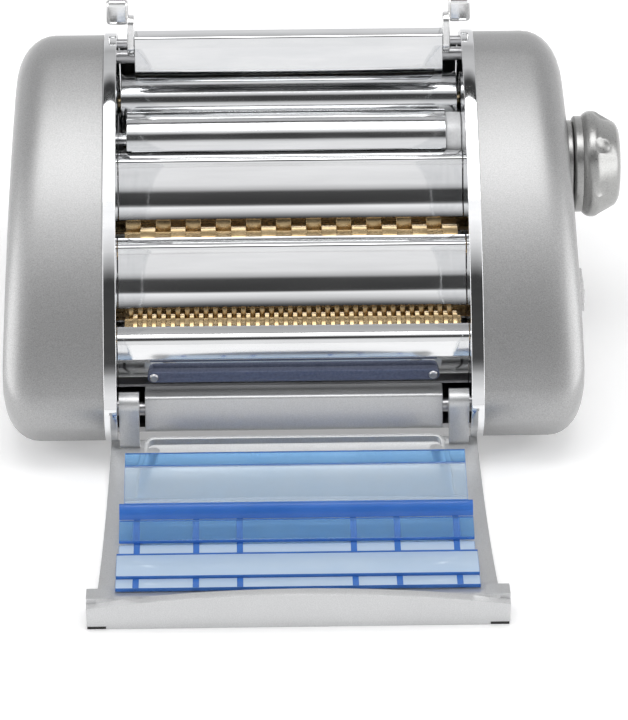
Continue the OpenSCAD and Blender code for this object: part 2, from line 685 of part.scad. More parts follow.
foot_r = 8;
module rubber_feet() color("black") for (x = [-95, 95]) for (y = [-56, 72])
  translate([x, y, 0]) cylinder(r1 = foot_r - 1, r2 = foot_r, h = body_bottom + rail_proud);

post_axes = [[-62, 24], [72, 24], [4, 88]];
post_gap = 1.2;                   // between a post and the casing's wall
module casing_posts() color("gray") both_sides() for (c = post_axes)
  rod(c[0], c[1], 4, frame_out, casing_x(c[0], c[1]) - casing_wall - post_gap);

// ---- feed flap ----
module feed_flap() color("white") {
  difference() {
    union() {
      bent_sheet([[62.6, 94.2, 0], [59.6, 103.2, 1.5], [62.9, 113.2, 1.5], [65, 117.3, 1.5], [70.4, 117.4, 0]],
        sheet_t, -arm_in - 1.4, arm_in + 1.4);
      rod(flap_y, flap_z, flap_barrel_r, -arm_in - 1.4, arm_in + 1.4);
      along_x(-arm_in - 1.4, arm_in + 1.4) polygon([[61.6, 106], [70, 110], [70, 113], [63.6, 112.4]]);
    }
    both_sides() rod(flap_y, flap_z, pin_r + run, arm_in - 4, half);
  }
}

tab_out = 82;
module feed_flap_tabs() color("silver") both_sides() difference() {
  union() {
    along_x(arm_in + 1.5, half - 0.8) polygon(capsule(flap_c, 5.6, [flap_y + 1.6, flap_z + 11], 4.2));
    intersection() {
      along_x(arm_in + 1.5, tab_out) polygon(capsule([flap_y + 1.6, flap_z + 13.4], 3.4, [flap_y + 2.4, flap_z + 19], 2.4));
      translate([(arm_in + tab_out + 1.5) / 2, 150, flap_z + 15.4]) rotate([90, 0, 0]) linear_extrude(200)
        polygon(square_of(tab_out - arm_in - 1.5, 13, 3.5));
    }
  }
  rod(flap_y, flap_z, pin_r + run, arm_in, half);
}

// ---- front door, modelled as it lies open on the table ----
door_arc_r = front_r + door_gap;
function turned_open(p) =
  let (v = p - hinge_c)
  hinge_c + [v[0] * cos(door_swing) - v[1] * sin(door_swing), v[0] * sin(door_swing) + v[1] * cos(door_swing)];
door_c = turned_open(front_c);
door_a0 = angle_of(turned_open(at(front_c, door_arc_r, 142.5)) - door_c);
door_a1 = angle_of(turned_open(at(front_c, door_arc_r, 114.5)) - door_c);
door_back = at(door_c, door_arc_r, door_a0);
door_end = at(door_c, door_arc_r, door_a1);

// Height of the door's upper face at a distance along Y
function door_z(y) = door_c[1] - sqrt(pow(door_arc_r, 2) - pow(y - door_c[0], 2));

module door_plan(back_half, front_half) translate([0, 0, -5]) linear_extrude(60)
  polygon([[-back_half, door_back[0] + 4], [back_half, door_back[0] + 4], [front_half, door_end[0] - 4], [-front_half, door_end[0] - 4]]);

lip_t = 3.4;
dish_half = 63.6;
dish_front = -119.5;
dish_rim = 1.4;
dish_h = 3;
boss_x = 59.5;
boss_y = -93;
boss_top = 15.3;

module front_door() color("silver") difference() {
  union() {
    intersection() {
      along_x(-100, 100) polygon(band(door_c, door_arc_r, door_arc_r + door_t, door_a0, door_a1, 24));
      door_plan(door_back_half, door_front_half);
    }
    // rim of the dish
    intersection() {
      along_x(-100, 100) polygon(band(door_c, door_arc_r - dish_h, door_arc_r + 0.2, door_a0, door_a1, 24));
      translate([0, (dish_front + door_back[0] - 1.4) / 2, 0]) linear_extrude(40) difference() {
        polygon(square_of(2 * dish_half, door_back[0] - 1.4 - dish_front, 4));
        polygon(square_of(2 * (dish_half - dish_rim), door_back[0] - 1.4 - dish_front - 2 * dish_rim, 3));
      }
    }
    // lip with its bowed upper edge
    translate([0, door_end[0] + 0.4, 0]) rotate([90, 0, 0]) linear_extrude(lip_t + 0.4)
      polygon(concat([[-lip_half, 0], [lip_half, 0]],
        [for (i = [12:-1:-12]) [lip_half * i / 12, lip_end_h + (lip_h - lip_end_h) * (1 - pow(i / 12, 2))]]));
    // lugs behind the ends of the lip
    intersection() {
      both_sides() translate([door_front_half - 6, door_end[0], door_z(door_end[0] + 9) - 1]) cube([lip_half - door_front_half + 6, 9, 4.4]);
      along_x(-100, 100) polygon(band(door_c, door_arc_r - 0.45, door_arc_r + 8, door_a1 - 3, door_a1 + 3, 8));
    }
    // hinge arms
    both_sides() along_x(arm_in, arm_out)
      polygon(capsule(hinge_c, 5.5, [door_back[0] - 2.6, door_back[1] + 1.4], 2.4));
    // posts that hold the slide
    both_sides() translate([boss_x, boss_y, door_z(boss_y) - 1]) cylinder(r = 2.8, h = boss_top - door_z(boss_y) + 1);
  }
  both_sides() rod(hinge_y, hinge_z, pin_r + run, arm_in - 1, half);
  both_sides() translate([lip_half - 8, door_end[0] + 0.6 - 2 * lip_t, -1]) cube([20, 2 * lip_t, 1 + pad_h]);
}

pad_h = 1.6;
module door_pads() color("black") both_sides()
  translate([lip_half - 7.9, door_end[0] - lip_t + 0.2, 0]) cube([7.6, lip_t + 0.2, pad_h]);

// ---- clear slide on the door ----
slide_gap = 0.4;
slide_path = [[-168, 12.6], [-160, 10.2], [-145.6, 8.6], [-144.4, 10.4], [-131.8, 10], [-127.6, 14.8], [-96, 17]];
module slide_plan() translate([0, 0, -5]) linear_extrude(60) polygon([[-72, -94], [72, -94], [73.5, -172], [-73.5, -172]]);

module slide_ribs() for (x = [-66, -41, -24, 24, 41, 66]) along_x(x - 0.7, x + 0.7)
  polygon(concat([for (i = [0:8]) let (y = -120 - 4 * i) [y, door_z(y) + slide_gap]],
    [[-152, 8.4], [-145.6, 7.8], [-144.4, 9.4], [-132.4, 9], [-128.2, 13.8], [-120, 14.2]]));

module pasta_slide() color("dodgerblue", 0.6) difference() {
  union() {
    intersection() {
      slide_plan();
      along_x(-80, 80) polygon(concat(slide_path, reverse([for (p = slide_path) p - [0, slide_t]])));
    }
    slide_ribs();
  }
  both_sides() translate([boss_x, boss_y, 0]) cylinder(r = 3.2, h = boss_top + 0.2);
}

// Offset from the middle plane and the drawing's own zero to the middle of the overall box
placed_x = -9.615;
placed_y = 47.445;
module placed() translate([placed_x, placed_y, 0]) children();

placed() side_frame_left();
placed() side_frame_right();
placed() rail_left();
placed() rail_right();
placed() casing_left();
placed() casing_right();
placed() base_plate();
placed() rear_cover();
placed() front_apron();
placed() exit_bar();
placed() exit_bar_screws();
placed() upper_guide_plate();
placed() middle_guide_plate();
placed() lower_guide_plate();
placed() inner_chute();
placed() coarse_comb_front();
placed() coarse_comb_rear();
placed() fine_comb_front();
placed() fine_comb_rear();
placed() smooth_scrapers();
placed() frame_bushes();
placed() tie_rods();
placed() tie_rod_nuts();
placed() idler_axles();
placed() hinge_pins();
placed() flap_pivot_pins();
placed() rubber_feet();
placed() casing_posts();
placed() motor();
placed() motor_cradle();
placed() switch_housing();
placed() cord_inlet();
placed() knob_bearing();
placed() smooth_roller_rear();
placed() smooth_rear_gear();
placed() smooth_roller_front();
placed() smooth_front_gear();
placed() coarse_cutter_rear();
placed() coarse_rear_gear();
placed() coarse_cutter_front();
placed() coarse_front_gear();
placed() fine_cutter_rear();
placed() fine_rear_gear();
placed() fine_cutter_front();
placed() fine_front_gear();
placed() idler_gear_upper();
placed() idler_gear_lower();
placed() motor_pinion();
placed() bearing_block_left();
placed() bearing_block_right();
placed() roller_bushing();
placed() regulator_shaft();
placed() thickness_knob();
placed() feed_flap();
placed() feed_flap_tabs();
placed() front_door();
placed() pasta_slide();
placed() door_pads();
placed() power_rocker();
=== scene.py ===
"""Looks of the pasta machine: finishes, refined pieces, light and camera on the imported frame."""

from __future__ import annotations

import json
import logging
import math
from dataclasses import dataclass, field
from enum import Enum

import bmesh
import bpy
from mathutils import Matrix, Vector

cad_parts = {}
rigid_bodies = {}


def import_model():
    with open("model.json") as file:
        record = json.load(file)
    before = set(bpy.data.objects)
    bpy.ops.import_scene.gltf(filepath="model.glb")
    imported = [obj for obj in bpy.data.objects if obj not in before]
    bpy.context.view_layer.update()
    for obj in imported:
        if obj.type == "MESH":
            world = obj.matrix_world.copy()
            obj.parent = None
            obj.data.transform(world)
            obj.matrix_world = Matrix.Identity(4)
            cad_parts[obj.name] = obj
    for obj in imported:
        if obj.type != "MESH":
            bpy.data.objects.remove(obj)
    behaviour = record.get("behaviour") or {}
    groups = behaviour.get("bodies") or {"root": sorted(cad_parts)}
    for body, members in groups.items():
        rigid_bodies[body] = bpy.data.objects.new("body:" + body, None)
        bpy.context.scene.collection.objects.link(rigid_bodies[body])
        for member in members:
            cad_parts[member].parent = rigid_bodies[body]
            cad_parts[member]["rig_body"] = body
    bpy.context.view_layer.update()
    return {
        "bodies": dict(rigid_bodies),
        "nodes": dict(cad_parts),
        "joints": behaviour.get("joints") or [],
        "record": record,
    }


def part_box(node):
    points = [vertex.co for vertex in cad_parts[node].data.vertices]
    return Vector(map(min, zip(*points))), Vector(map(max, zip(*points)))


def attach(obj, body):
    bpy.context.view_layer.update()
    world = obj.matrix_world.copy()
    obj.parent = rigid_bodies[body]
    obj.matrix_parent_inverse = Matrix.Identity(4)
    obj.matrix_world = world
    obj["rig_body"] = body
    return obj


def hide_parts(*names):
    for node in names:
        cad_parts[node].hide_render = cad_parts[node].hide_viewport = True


LOG = logging.getLogger("pasta_machine")
MM = 0.001
MIDDLE_X = -9.615  # the machine's middle plane in the frame, in millimetres
DRAWN_Y = 47.445  # the drawing's zero along Y in the frame, in millimetres

COAT_ROUGHNESS = 0.12
FLUTE_STRENGTH = 0.9
FLUTE_DEPTH = 0.00025
GROOVE_RADIUS = 0.0085  # flutes run inside this radius round a cutter's axis
GRAIN_DETAIL = 3.0
GRAIN_SPREAD = (0.3, 0.7)  # part of the fine noise that is stretched to 0..1
CLOUD_SCALE = 28.0
CLOUD_SPREAD = (0.35, 0.65)
SMOOTH_BELOW_DEG = 38.0  # edges steeper than this stay sharp
CORNER_DEG = 50.0  # edges steeper than this are rounded on new pieces
REFINE_DEG = 32.0  # edges steeper than this are rounded on refined pieces
FLAT_DEG = 0.6  # triangles flatter than this are merged on refined pieces
MERGE_DISTANCE = 2e-6
CIRCLE_STEPS = 64

Profile = list[tuple[float, float]]
Colour = tuple[float, float, float]


def across(x: float) -> float:
    """Gives the frame's X in metres of a distance in millimetres from the middle plane."""
    return (x + MIDDLE_X) * MM


def drawn(y: float, z: float) -> tuple[float, float]:
    """Gives the frame's Y and Z in metres of a point of the drawing in millimetres."""
    return (y + DRAWN_Y) * MM, z * MM


class Pattern(Enum):
    """What runs over a surface besides its plain colour."""

    SPECKLE = "speckle"
    FLUTED = "fluted"


# ---------------------------------------------------------------------------
# Shader nodes
# ---------------------------------------------------------------------------


def new_group(name: str, inputs: dict[str, float | Colour], outputs: dict[str, str]) -> bpy.types.ShaderNodeTree:
    """Makes an empty shader node group with named sockets.

    Args:
        name: name of the group.
        inputs: default of each input; a tuple makes a colour or vector socket.
        outputs: socket type of each output.

    Returns:
        The group with its input and output nodes.
    """
    tree = bpy.data.node_groups.new(name, "ShaderNodeTree")
    for label, value in inputs.items():
        kind = "NodeSocketFloat" if isinstance(value, (int, float)) else "NodeSocketVector"
        if label.startswith("Colour"):
            kind = "NodeSocketColor"
        socket = tree.interface.new_socket(name=label, in_out="INPUT", socket_type=kind)
        socket.default_value = (*value, 1.0) if kind == "NodeSocketColor" else value
    for label, kind in outputs.items():
        tree.interface.new_socket(name=label, in_out="OUTPUT", socket_type=kind)
    tree.nodes.new("NodeGroupInput").name = "in"
    tree.nodes.new("NodeGroupOutput").name = "out"
    return tree


def grain_group() -> bpy.types.ShaderNodeTree:
    """Makes the group for speckled and brushed surfaces.

    Returns:
        A group that gives colour, roughness and height.
    """
    tree = new_group(
        "surface_grain",
        {
            "Colour Low": (0.5, 0.5, 0.5), "Colour High": (0.6, 0.6, 0.6), "Stretch": (1.0, 1.0, 1.0),
            "Scale": 900.0, "Rough Low": 0.3, "Rough High": 0.4, "Cloud": 0.1,
        },
        {"Colour": "NodeSocketColor", "Roughness": "NodeSocketFloat", "Height": "NodeSocketFloat"},
    )
    nodes, links = tree.nodes, tree.links
    source, target = nodes["in"], nodes["out"]
    place = nodes.new("ShaderNodeTexCoord")
    stretch = nodes.new("ShaderNodeVectorMath")
    stretch.operation = "MULTIPLY"
    fine = nodes.new("ShaderNodeTexNoise")
    fine.inputs["Detail"].default_value = GRAIN_DETAIL
    cloud = nodes.new("ShaderNodeTexNoise")
    cloud.inputs["Scale"].default_value = CLOUD_SCALE
    spread = nodes.new("ShaderNodeMapRange")
    spread.inputs["From Min"].default_value, spread.inputs["From Max"].default_value = GRAIN_SPREAD
    shade = nodes.new("ShaderNodeMapRange")
    shade.inputs["From Min"].default_value, shade.inputs["From Max"].default_value = CLOUD_SPREAD
    amount = nodes.new("ShaderNodeMix")
    colour = nodes.new("ShaderNodeMix")
    colour.data_type = "RGBA"
    rough = nodes.new("ShaderNodeMapRange")
    links.new(place.outputs["Object"], stretch.inputs[0])
    links.new(source.outputs["Stretch"], stretch.inputs[1])
    links.new(stretch.outputs[0], fine.inputs["Vector"])
    links.new(source.outputs["Scale"], fine.inputs["Scale"])
    links.new(place.outputs["Object"], cloud.inputs["Vector"])
    links.new(fine.outputs["Fac"], spread.inputs["Value"])
    links.new(cloud.outputs["Fac"], shade.inputs["Value"])
    links.new(source.outputs["Cloud"], amount.inputs[0])
    links.new(spread.outputs["Result"], amount.inputs[2])
    links.new(shade.outputs["Result"], amount.inputs[3])
    links.new(amount.outputs[0], colour.inputs[0])
    links.new(source.outputs["Colour Low"], colour.inputs[6])
    links.new(source.outputs["Colour High"], colour.inputs[7])
    links.new(amount.outputs[0], rough.inputs["Value"])
    links.new(source.outputs["Rough Low"], rough.inputs["To Min"])
    links.new(source.outputs["Rough High"], rough.inputs["To Max"])
    links.new(colour.outputs[2], target.inputs["Colour"])
    links.new(rough.outputs["Result"], target.inputs["Roughness"])
    links.new(spread.outputs["Result"], target.inputs["Height"])
    return tree


def flute_group() -> bpy.types.ShaderNodeTree:
    """Makes the group for fine lengthwise flutes round an X axis.

    Returns:
        A group that gives a height, which is nought outside the groove radius.
    """
    tree = new_group(
        "fluting", {"Centre Y": 0.0, "Centre Z": 0.0, "Count": 60.0, "Limit": GROOVE_RADIUS},
        {"Height": "NodeSocketFloat"},
    )
    nodes, links = tree.nodes, tree.links
    source, target = nodes["in"], nodes["out"]
    place = nodes.new("ShaderNodeTexCoord")
    split = nodes.new("ShaderNodeSeparateXYZ")
    links.new(place.outputs["Object"], split.inputs[0])

    def maths(kind: str, first: bpy.types.NodeSocket,
              second: bpy.types.NodeSocket | None = None) -> bpy.types.NodeSocket:
        """Adds one maths node.

        Args:
            kind: operation of the node.
            first: its first input.
            second: its second input, if it has one.

        Returns:
            The output of the node.
        """
        step = nodes.new("ShaderNodeMath")
        step.operation = kind
        links.new(first, step.inputs[0])
        if second is not None:
            links.new(second, step.inputs[1])
        return step.outputs[0]

    back = maths("SUBTRACT", split.outputs["Y"], source.outputs["Centre Y"])
    up = maths("SUBTRACT", split.outputs["Z"], source.outputs["Centre Z"])
    turns = maths("MULTIPLY", maths("ARCTAN2", up, back), source.outputs["Count"])
    radius = maths("SQRT", maths("ADD", maths("MULTIPLY", back, back), maths("MULTIPLY", up, up)))
    inside = maths("LESS_THAN", radius, source.outputs["Limit"])
    links.new(maths("MULTIPLY", maths("SINE", turns), inside), target.inputs["Height"])
    return tree


def seen_by(tree: bpy.types.ShaderNodeTree, kinds: tuple[str, ...]) -> bpy.types.NodeSocket:
    """Adds nodes that tell whether a ray is of one of some kinds.

    Args:
        tree: node tree of a material or the world.
        kinds: outputs of the Light Path node.

    Returns:
        A socket that is 1 for such a ray and 0 for others.
    """
    path = tree.nodes.new("ShaderNodeLightPath")
    found = path.outputs[kinds[0]]
    for kind in kinds[1:]:
        either = tree.nodes.new("ShaderNodeMath")
        either.operation = "MAXIMUM"
        tree.links.new(found, either.inputs[0])
        tree.links.new(path.outputs[kind], either.inputs[1])
        found = either.outputs[0]
    return found


# ---------------------------------------------------------------------------
# Finishes
# ---------------------------------------------------------------------------


@dataclass(frozen=True)
class Finish:
    """One finish of the machine, built as a node material."""

    name: str
    low: Colour
    high: Colour
    rough: tuple[float, float] = (0.3, 0.4)
    metallic: float = 0.0
    scale: float = 900.0
    stretch: Colour = (1.0, 1.0, 1.0)
    bump: float = 0.05
    bump_depth: float = 0.0001
    cloud: float = 0.15
    coat: float = 0.0
    glass: float = 0.0
    ior: float = 1.45
    pattern: Pattern = Pattern.SPECKLE
    centre: tuple[float, float] = (0.0, 0.0)
    flutes: float = 60.0

    def build(self) -> bpy.types.Material:
        """Makes the material.

        Returns:
            The material, with its grain group linked to one Principled shader.
        """
        material = bpy.data.materials.new(self.name)
        material.use_nodes = True
        nodes, links = material.node_tree.nodes, material.node_tree.links
        shader = nodes["Principled BSDF"]
        shader.inputs["Metallic"].default_value = self.metallic
        shader.inputs["IOR"].default_value = self.ior
        shader.inputs["Coat Weight"].default_value = self.coat
        shader.inputs["Coat Roughness"].default_value = COAT_ROUGHNESS
        shader.inputs["Transmission Weight"].default_value = self.glass
        grain = nodes.new("ShaderNodeGroup")
        grain.node_tree = bpy.data.node_groups.get("surface_grain") or grain_group()
        grain.inputs["Colour Low"].default_value = (*self.low, 1.0)
        grain.inputs["Colour High"].default_value = (*self.high, 1.0)
        grain.inputs["Stretch"].default_value = self.stretch
        grain.inputs["Scale"].default_value = self.scale
        grain.inputs["Rough Low"].default_value = self.rough[0]
        grain.inputs["Rough High"].default_value = self.rough[1]
        grain.inputs["Cloud"].default_value = self.cloud
        bump = nodes.new("ShaderNodeBump")
        bump.inputs["Strength"].default_value = self.bump
        bump.inputs["Distance"].default_value = self.bump_depth
        links.new(grain.outputs["Colour"], shader.inputs["Base Color"])
        links.new(grain.outputs["Roughness"], shader.inputs["Roughness"])
        links.new(grain.outputs["Height"], bump.inputs["Height"])
        if self.pattern is Pattern.FLUTED:
            flutes = nodes.new("ShaderNodeGroup")
            flutes.node_tree = bpy.data.node_groups.get("fluting") or flute_group()
            flutes.inputs["Centre Y"].default_value = self.centre[0]
            flutes.inputs["Centre Z"].default_value = self.centre[1]
            flutes.inputs["Count"].default_value = self.flutes
            ridges = nodes.new("ShaderNodeBump")
            ridges.inputs["Strength"].default_value = FLUTE_STRENGTH
            ridges.inputs["Distance"].default_value = FLUTE_DEPTH
            links.new(flutes.outputs["Height"], ridges.inputs["Height"])
            links.new(bump.outputs["Normal"], ridges.inputs["Normal"])
            links.new(ridges.outputs["Normal"], shader.inputs["Normal"])
        else:
            links.new(bump.outputs["Normal"], shader.inputs["Normal"])
        return material


def brass(name: str, centre: tuple[float, float], flutes: float) -> Finish:
    """Makes the brass of one cutter, with flutes in its grooves.

    Args:
        name: name of the finish.
        centre: Y and Z of the cutter's axis in metres.
        flutes: flutes round the axis.

    Returns:
        The finish.
    """
    return Finish(
        name, (0.46, 0.33, 0.17), (0.66, 0.50, 0.29), (0.18, 0.32), metallic=1.0, scale=400.0,
        stretch=(0.3, 1.0, 1.0), bump=0.2, pattern=Pattern.FLUTED, centre=centre, flutes=flutes,
    )


@dataclass
class Finishes:
    """All finishes of the machine, built once each."""

    made: dict[str, bpy.types.Material] = field(default_factory=dict)
    flutes: float = 56.0
    # axis of each cutter, in millimetres of the drawing
    cutter_axes: tuple[tuple[str, tuple[float, float]], ...] = (
        ("coarse_front", (-5.0, 54.5)), ("coarse_rear", (13.4, 54.5)),
        ("fine_front", (-45.0, 38.5)), ("fine_rear", (-26.6, 38.5)),
    )

    def table(self) -> list[Finish]:
        """Lists the finishes.

        Returns:
            Every finish of the machine, the four cutter brasses last.
        """
        return [
            Finish("casing_paint", (0.32, 0.32, 0.32), (0.50, 0.50, 0.50), (0.36, 0.46), metallic=0.8,
                   scale=2600.0, bump=0.25, bump_depth=0.00005, cloud=0.08, coat=0.25),
            Finish("door_paint", (0.54, 0.545, 0.55), (0.68, 0.685, 0.69), (0.32, 0.44), metallic=0.7,
                   scale=2400.0, bump=0.2, bump_depth=0.00005, cloud=0.1, coat=0.25),
            Finish("knob_silver", (0.32, 0.32, 0.315), (0.44, 0.44, 0.43), (0.26, 0.36), metallic=0.85,
                   scale=1800.0, bump=0.15, bump_depth=0.00005, coat=0.2),
            Finish("chrome", (0.80, 0.81, 0.82), (0.88, 0.885, 0.89), (0.03, 0.08), metallic=1.0,
                   scale=220.0, stretch=(0.2, 1.0, 1.0), bump=0.04, bump_depth=0.00004),
            Finish("plate_chrome", (0.76, 0.765, 0.77), (0.84, 0.845, 0.85), (0.06, 0.11), metallic=1.0,
                   scale=260.0, stretch=(0.1, 1.0, 1.0), bump=0.03, bump_depth=0.00004),
            Finish("roller_chrome", (0.74, 0.75, 0.76), (0.84, 0.845, 0.85), (0.08, 0.16), metallic=1.0,
                   scale=500.0, stretch=(0.06, 1.0, 1.0), bump=0.08, bump_depth=0.00004),
            Finish("tab_chrome", (0.80, 0.80, 0.80), (0.90, 0.90, 0.90), (0.16, 0.24), metallic=0.85,
                   scale=700.0, bump=0.06),
            Finish("steel", (0.48, 0.48, 0.49), (0.60, 0.60, 0.61), (0.28, 0.4), metallic=1.0,
                   scale=600.0, stretch=(0.1, 1.0, 1.0), bump=0.12),
            Finish("satin_steel", (0.58, 0.585, 0.59), (0.68, 0.685, 0.69), (0.22, 0.30), metallic=1.0,
                   scale=500.0, stretch=(0.06, 1.0, 1.0), bump=0.08),
            Finish("bush_brass", (0.42, 0.30, 0.15), (0.55, 0.41, 0.22), (0.3, 0.4), metallic=1.0),
            Finish("gear_plastic", (0.72, 0.70, 0.64), (0.80, 0.78, 0.73), (0.42, 0.52), bump=0.1),
            Finish("bushing_white", (0.74, 0.745, 0.75), (0.82, 0.825, 0.83), (0.32, 0.42), metallic=0.15, bump=0.1),
            Finish("dark_blue", (0.10, 0.12, 0.19), (0.15, 0.17, 0.25), (0.28, 0.38), metallic=0.3, bump=0.08),
            Finish("black_plastic", (0.02, 0.02, 0.022), (0.035, 0.035, 0.04), (0.38, 0.5), scale=1500.0, bump=0.2),
            Finish("rubber", (0.018, 0.018, 0.018), (0.03, 0.03, 0.03), (0.6, 0.75), scale=1200.0, bump=0.3),
            Finish("switch_white", (0.78, 0.78, 0.78), (0.86, 0.86, 0.86), (0.22, 0.3), bump=0.05, coat=0.3),
            Finish("clear_blue", (0.30, 0.60, 0.96), (0.34, 0.64, 0.98), (0.02, 0.05), glass=0.84, ior=1.36,
                   scale=60.0, bump=0.02),
            # A paler, more see-through copy of the clear blue plastic: painted sheen for the white sky that its step
            # reflects.
            Finish("clear_pale_painted_sheen", (0.72, 0.85, 0.97), (0.77, 0.88, 0.98), (0.02, 0.05), glass=0.75, ior=1.36,
                   scale=60.0, bump=0.02),
            Finish("deep_blue", (0.06, 0.22, 0.68), (0.09, 0.27, 0.76), (0.03, 0.08), glass=0.45, ior=1.36,
                   scale=60.0, bump=0.02),
            # A pale, cloudy copy of the clear blue plastic: painted sheen for the white sky that its steps reflect,
            # and painted light over the shade that falls under the slide.
            Finish("pale_blue_painted_sheen", (0.55, 0.70, 0.88), (0.60, 0.74, 0.90), (0.04, 0.08), glass=0.25, ior=1.4,
                   scale=60.0, bump=0.02),
            *(brass(f"{place}_brass", drawn(*centre), self.flutes) for place, centre in self.cutter_axes),
        ]

    def build(self) -> None:
        """Builds every finish."""
        for finish in self.table():
            self.made[finish.name] = finish.build()

    def put(self, piece: bpy.types.Object, name: str) -> None:
        """Gives a piece one finish.

        Args:
            piece: the piece, or a CAD node's object.
            name: name of the finish.
        """
        if piece.data.materials:
            piece.data.materials.clear()
        piece.data.materials.append(self.made[name])


# ---------------------------------------------------------------------------
# Mesh helpers
# ---------------------------------------------------------------------------


def shaded(mesh: bmesh.types.BMesh, data: bpy.types.Mesh) -> None:
    """Writes a bmesh to mesh data, smooth but for its sharp edges.

    Args:
        mesh: the bmesh, which is freed.
        data: the mesh data that takes it.
    """
    for face in mesh.faces:
        face.smooth = True
    mesh.to_mesh(data)
    mesh.free()
    data.set_sharp_from_angle(angle=math.radians(SMOOTH_BELOW_DEG))


def new_piece(name: str, mesh: bmesh.types.BMesh) -> bpy.types.Object:
    """Turns a bmesh into a smooth-shaded object.

    Args:
        name: name of the piece.
        mesh: the bmesh, which is freed.

    Returns:
        The new object, at the origin.
    """
    data = bpy.data.meshes.new(name)
    shaded(mesh, data)
    piece = bpy.data.objects.new(name, data)
    bpy.context.scene.collection.objects.link(piece)
    return piece


def bevel_sharp(mesh: bmesh.types.BMesh, width: float, least_deg: float, segments: int = 3) -> None:
    """Rounds every edge of a bmesh that is steeper than an angle.

    Args:
        mesh: the bmesh to change.
        width: bevel width in metres.
        least_deg: least angle between the two faces.
        segments: steps in the rounding.
    """
    edges = [e for e in mesh.edges if len(e.link_faces) == 2 and e.calc_face_angle(0.0) > math.radians(least_deg)]
    bmesh.ops.bevel(mesh, geom=edges, offset=width, offset_type="OFFSET", segments=segments, profile=0.5,
                    affect="EDGES", clamp_overlap=True, material=-1)


def turned(name: str, profile: Profile, centre: tuple[float, float], steps: int,
           width: float) -> bpy.types.Object:
    """Turns a profile about an X axis.

    Args:
        name: name of the piece.
        profile: (radius, x) points in metres, from axis to axis.
        centre: Y and Z of the axis.
        steps: steps round the axis.
        width: bevel width of the profile's corners.

    Returns:
        The turned piece.
    """
    mesh = bmesh.new()
    points = [mesh.verts.new((x, centre[0] + radius, centre[1])) for radius, x in profile]
    edges = [mesh.edges.new(pair) for pair in zip(points, points[1:])]
    bmesh.ops.spin(mesh, geom=points + edges, cent=(0.0, *centre), axis=(1.0, 0.0, 0.0), angle=math.tau,
                   steps=steps, use_merge=True)
    bmesh.ops.remove_doubles(mesh, verts=mesh.verts, dist=1e-6)
    bmesh.ops.recalc_face_normals(mesh, faces=mesh.faces)
    bevel_sharp(mesh, width, CORNER_DEG, 2)
    return new_piece(name, mesh)


def extruded(name: str, outline: Profile, left: float, right: float, edge: float) -> bpy.types.Object:
    """Extrudes an outline in the Y-Z plane along X.

    Args:
        name: name of the piece.
        outline: (y, z) points in metres, in order round the outline.
        left: X where it starts.
        right: X where it ends.
        edge: bevel width of its sharp edges.

    Returns:
        The extruded piece.
    """
    mesh = bmesh.new()
    face = mesh.faces.new([mesh.verts.new((left, y, z)) for y, z in outline])
    pulled = bmesh.ops.extrude_face_region(mesh, geom=[face])["geom"]
    moved = [part for part in pulled if isinstance(part, bmesh.types.BMVert)]
    bmesh.ops.translate(mesh, verts=moved, vec=(right - left, 0.0, 0.0))
    bmesh.ops.recalc_face_normals(mesh, faces=mesh.faces)
    bevel_sharp(mesh, edge, CORNER_DEG, 2)
    return new_piece(name, mesh)


def thickened(path: Profile, thickness: float) -> Profile:
    """Gives the outline of a sheet whose right-hand surface, seen along the path, is the path.

    Args:
        path: (y, z) points in metres.
        thickness: thickness of the sheet, laid to the right of the path.

    Returns:
        The closed outline.
    """
    inner: Profile = []
    for number, (y, z) in enumerate(path):
        before = path[max(number - 1, 0)]
        after = path[min(number + 1, len(path) - 1)]
        run, rise = after[0] - before[0], after[1] - before[1]
        length = math.hypot(run, rise)
        inner.append((y + rise / length * thickness, z - run / length * thickness))
    return path + inner[::-1]


def hulled(name: str, circles: list[tuple[float, float, float]], left: float, right: float,
           edge: float) -> bpy.types.Object:
    """Makes a plate whose outline wraps some circles in the Y-Z plane.

    Args:
        name: name of the piece.
        circles: (y, z, radius) in metres.
        left: X where it starts.
        right: X where it ends.
        edge: bevel width of its rim.

    Returns:
        The plate.
    """
    mesh = bmesh.new()
    for y, z, radius in circles:
        for x in (left, right):
            turn = Matrix.Translation((x, y, z)) @ Matrix.Rotation(math.pi / 2, 4, "Y")
            bmesh.ops.create_circle(mesh, segments=CIRCLE_STEPS, radius=radius, matrix=turn)
    wrapped = bmesh.ops.convex_hull(mesh, input=mesh.verts)
    inner = {part for part in wrapped["geom_interior"] if isinstance(part, bmesh.types.BMVert)}
    bmesh.ops.delete(mesh, geom=list(inner), context="VERTS")
    bmesh.ops.delete(mesh, geom=[line for line in mesh.edges if not line.link_faces], context="EDGES")
    bmesh.ops.delete(mesh, geom=[vert for vert in mesh.verts if not vert.link_faces], context="VERTS")
    bmesh.ops.dissolve_limit(mesh, angle_limit=math.radians(1.0), verts=mesh.verts, edges=mesh.edges)
    bmesh.ops.recalc_face_normals(mesh, faces=mesh.faces)
    bevel_sharp(mesh, edge, CORNER_DEG)
    return new_piece(name, mesh)


def joined(name: str, pieces: list[bpy.types.Object]) -> bpy.types.Object:
    """Puts the meshes of several pieces in one and removes the pieces.

    Args:
        name: name of the new piece.
        pieces: the pieces, all at the origin.

    Returns:
        The new piece.
    """
    mesh = bmesh.new()
    for piece in pieces:
        mesh.from_mesh(piece.data)
        bpy.data.objects.remove(piece)
    return new_piece(name, mesh)


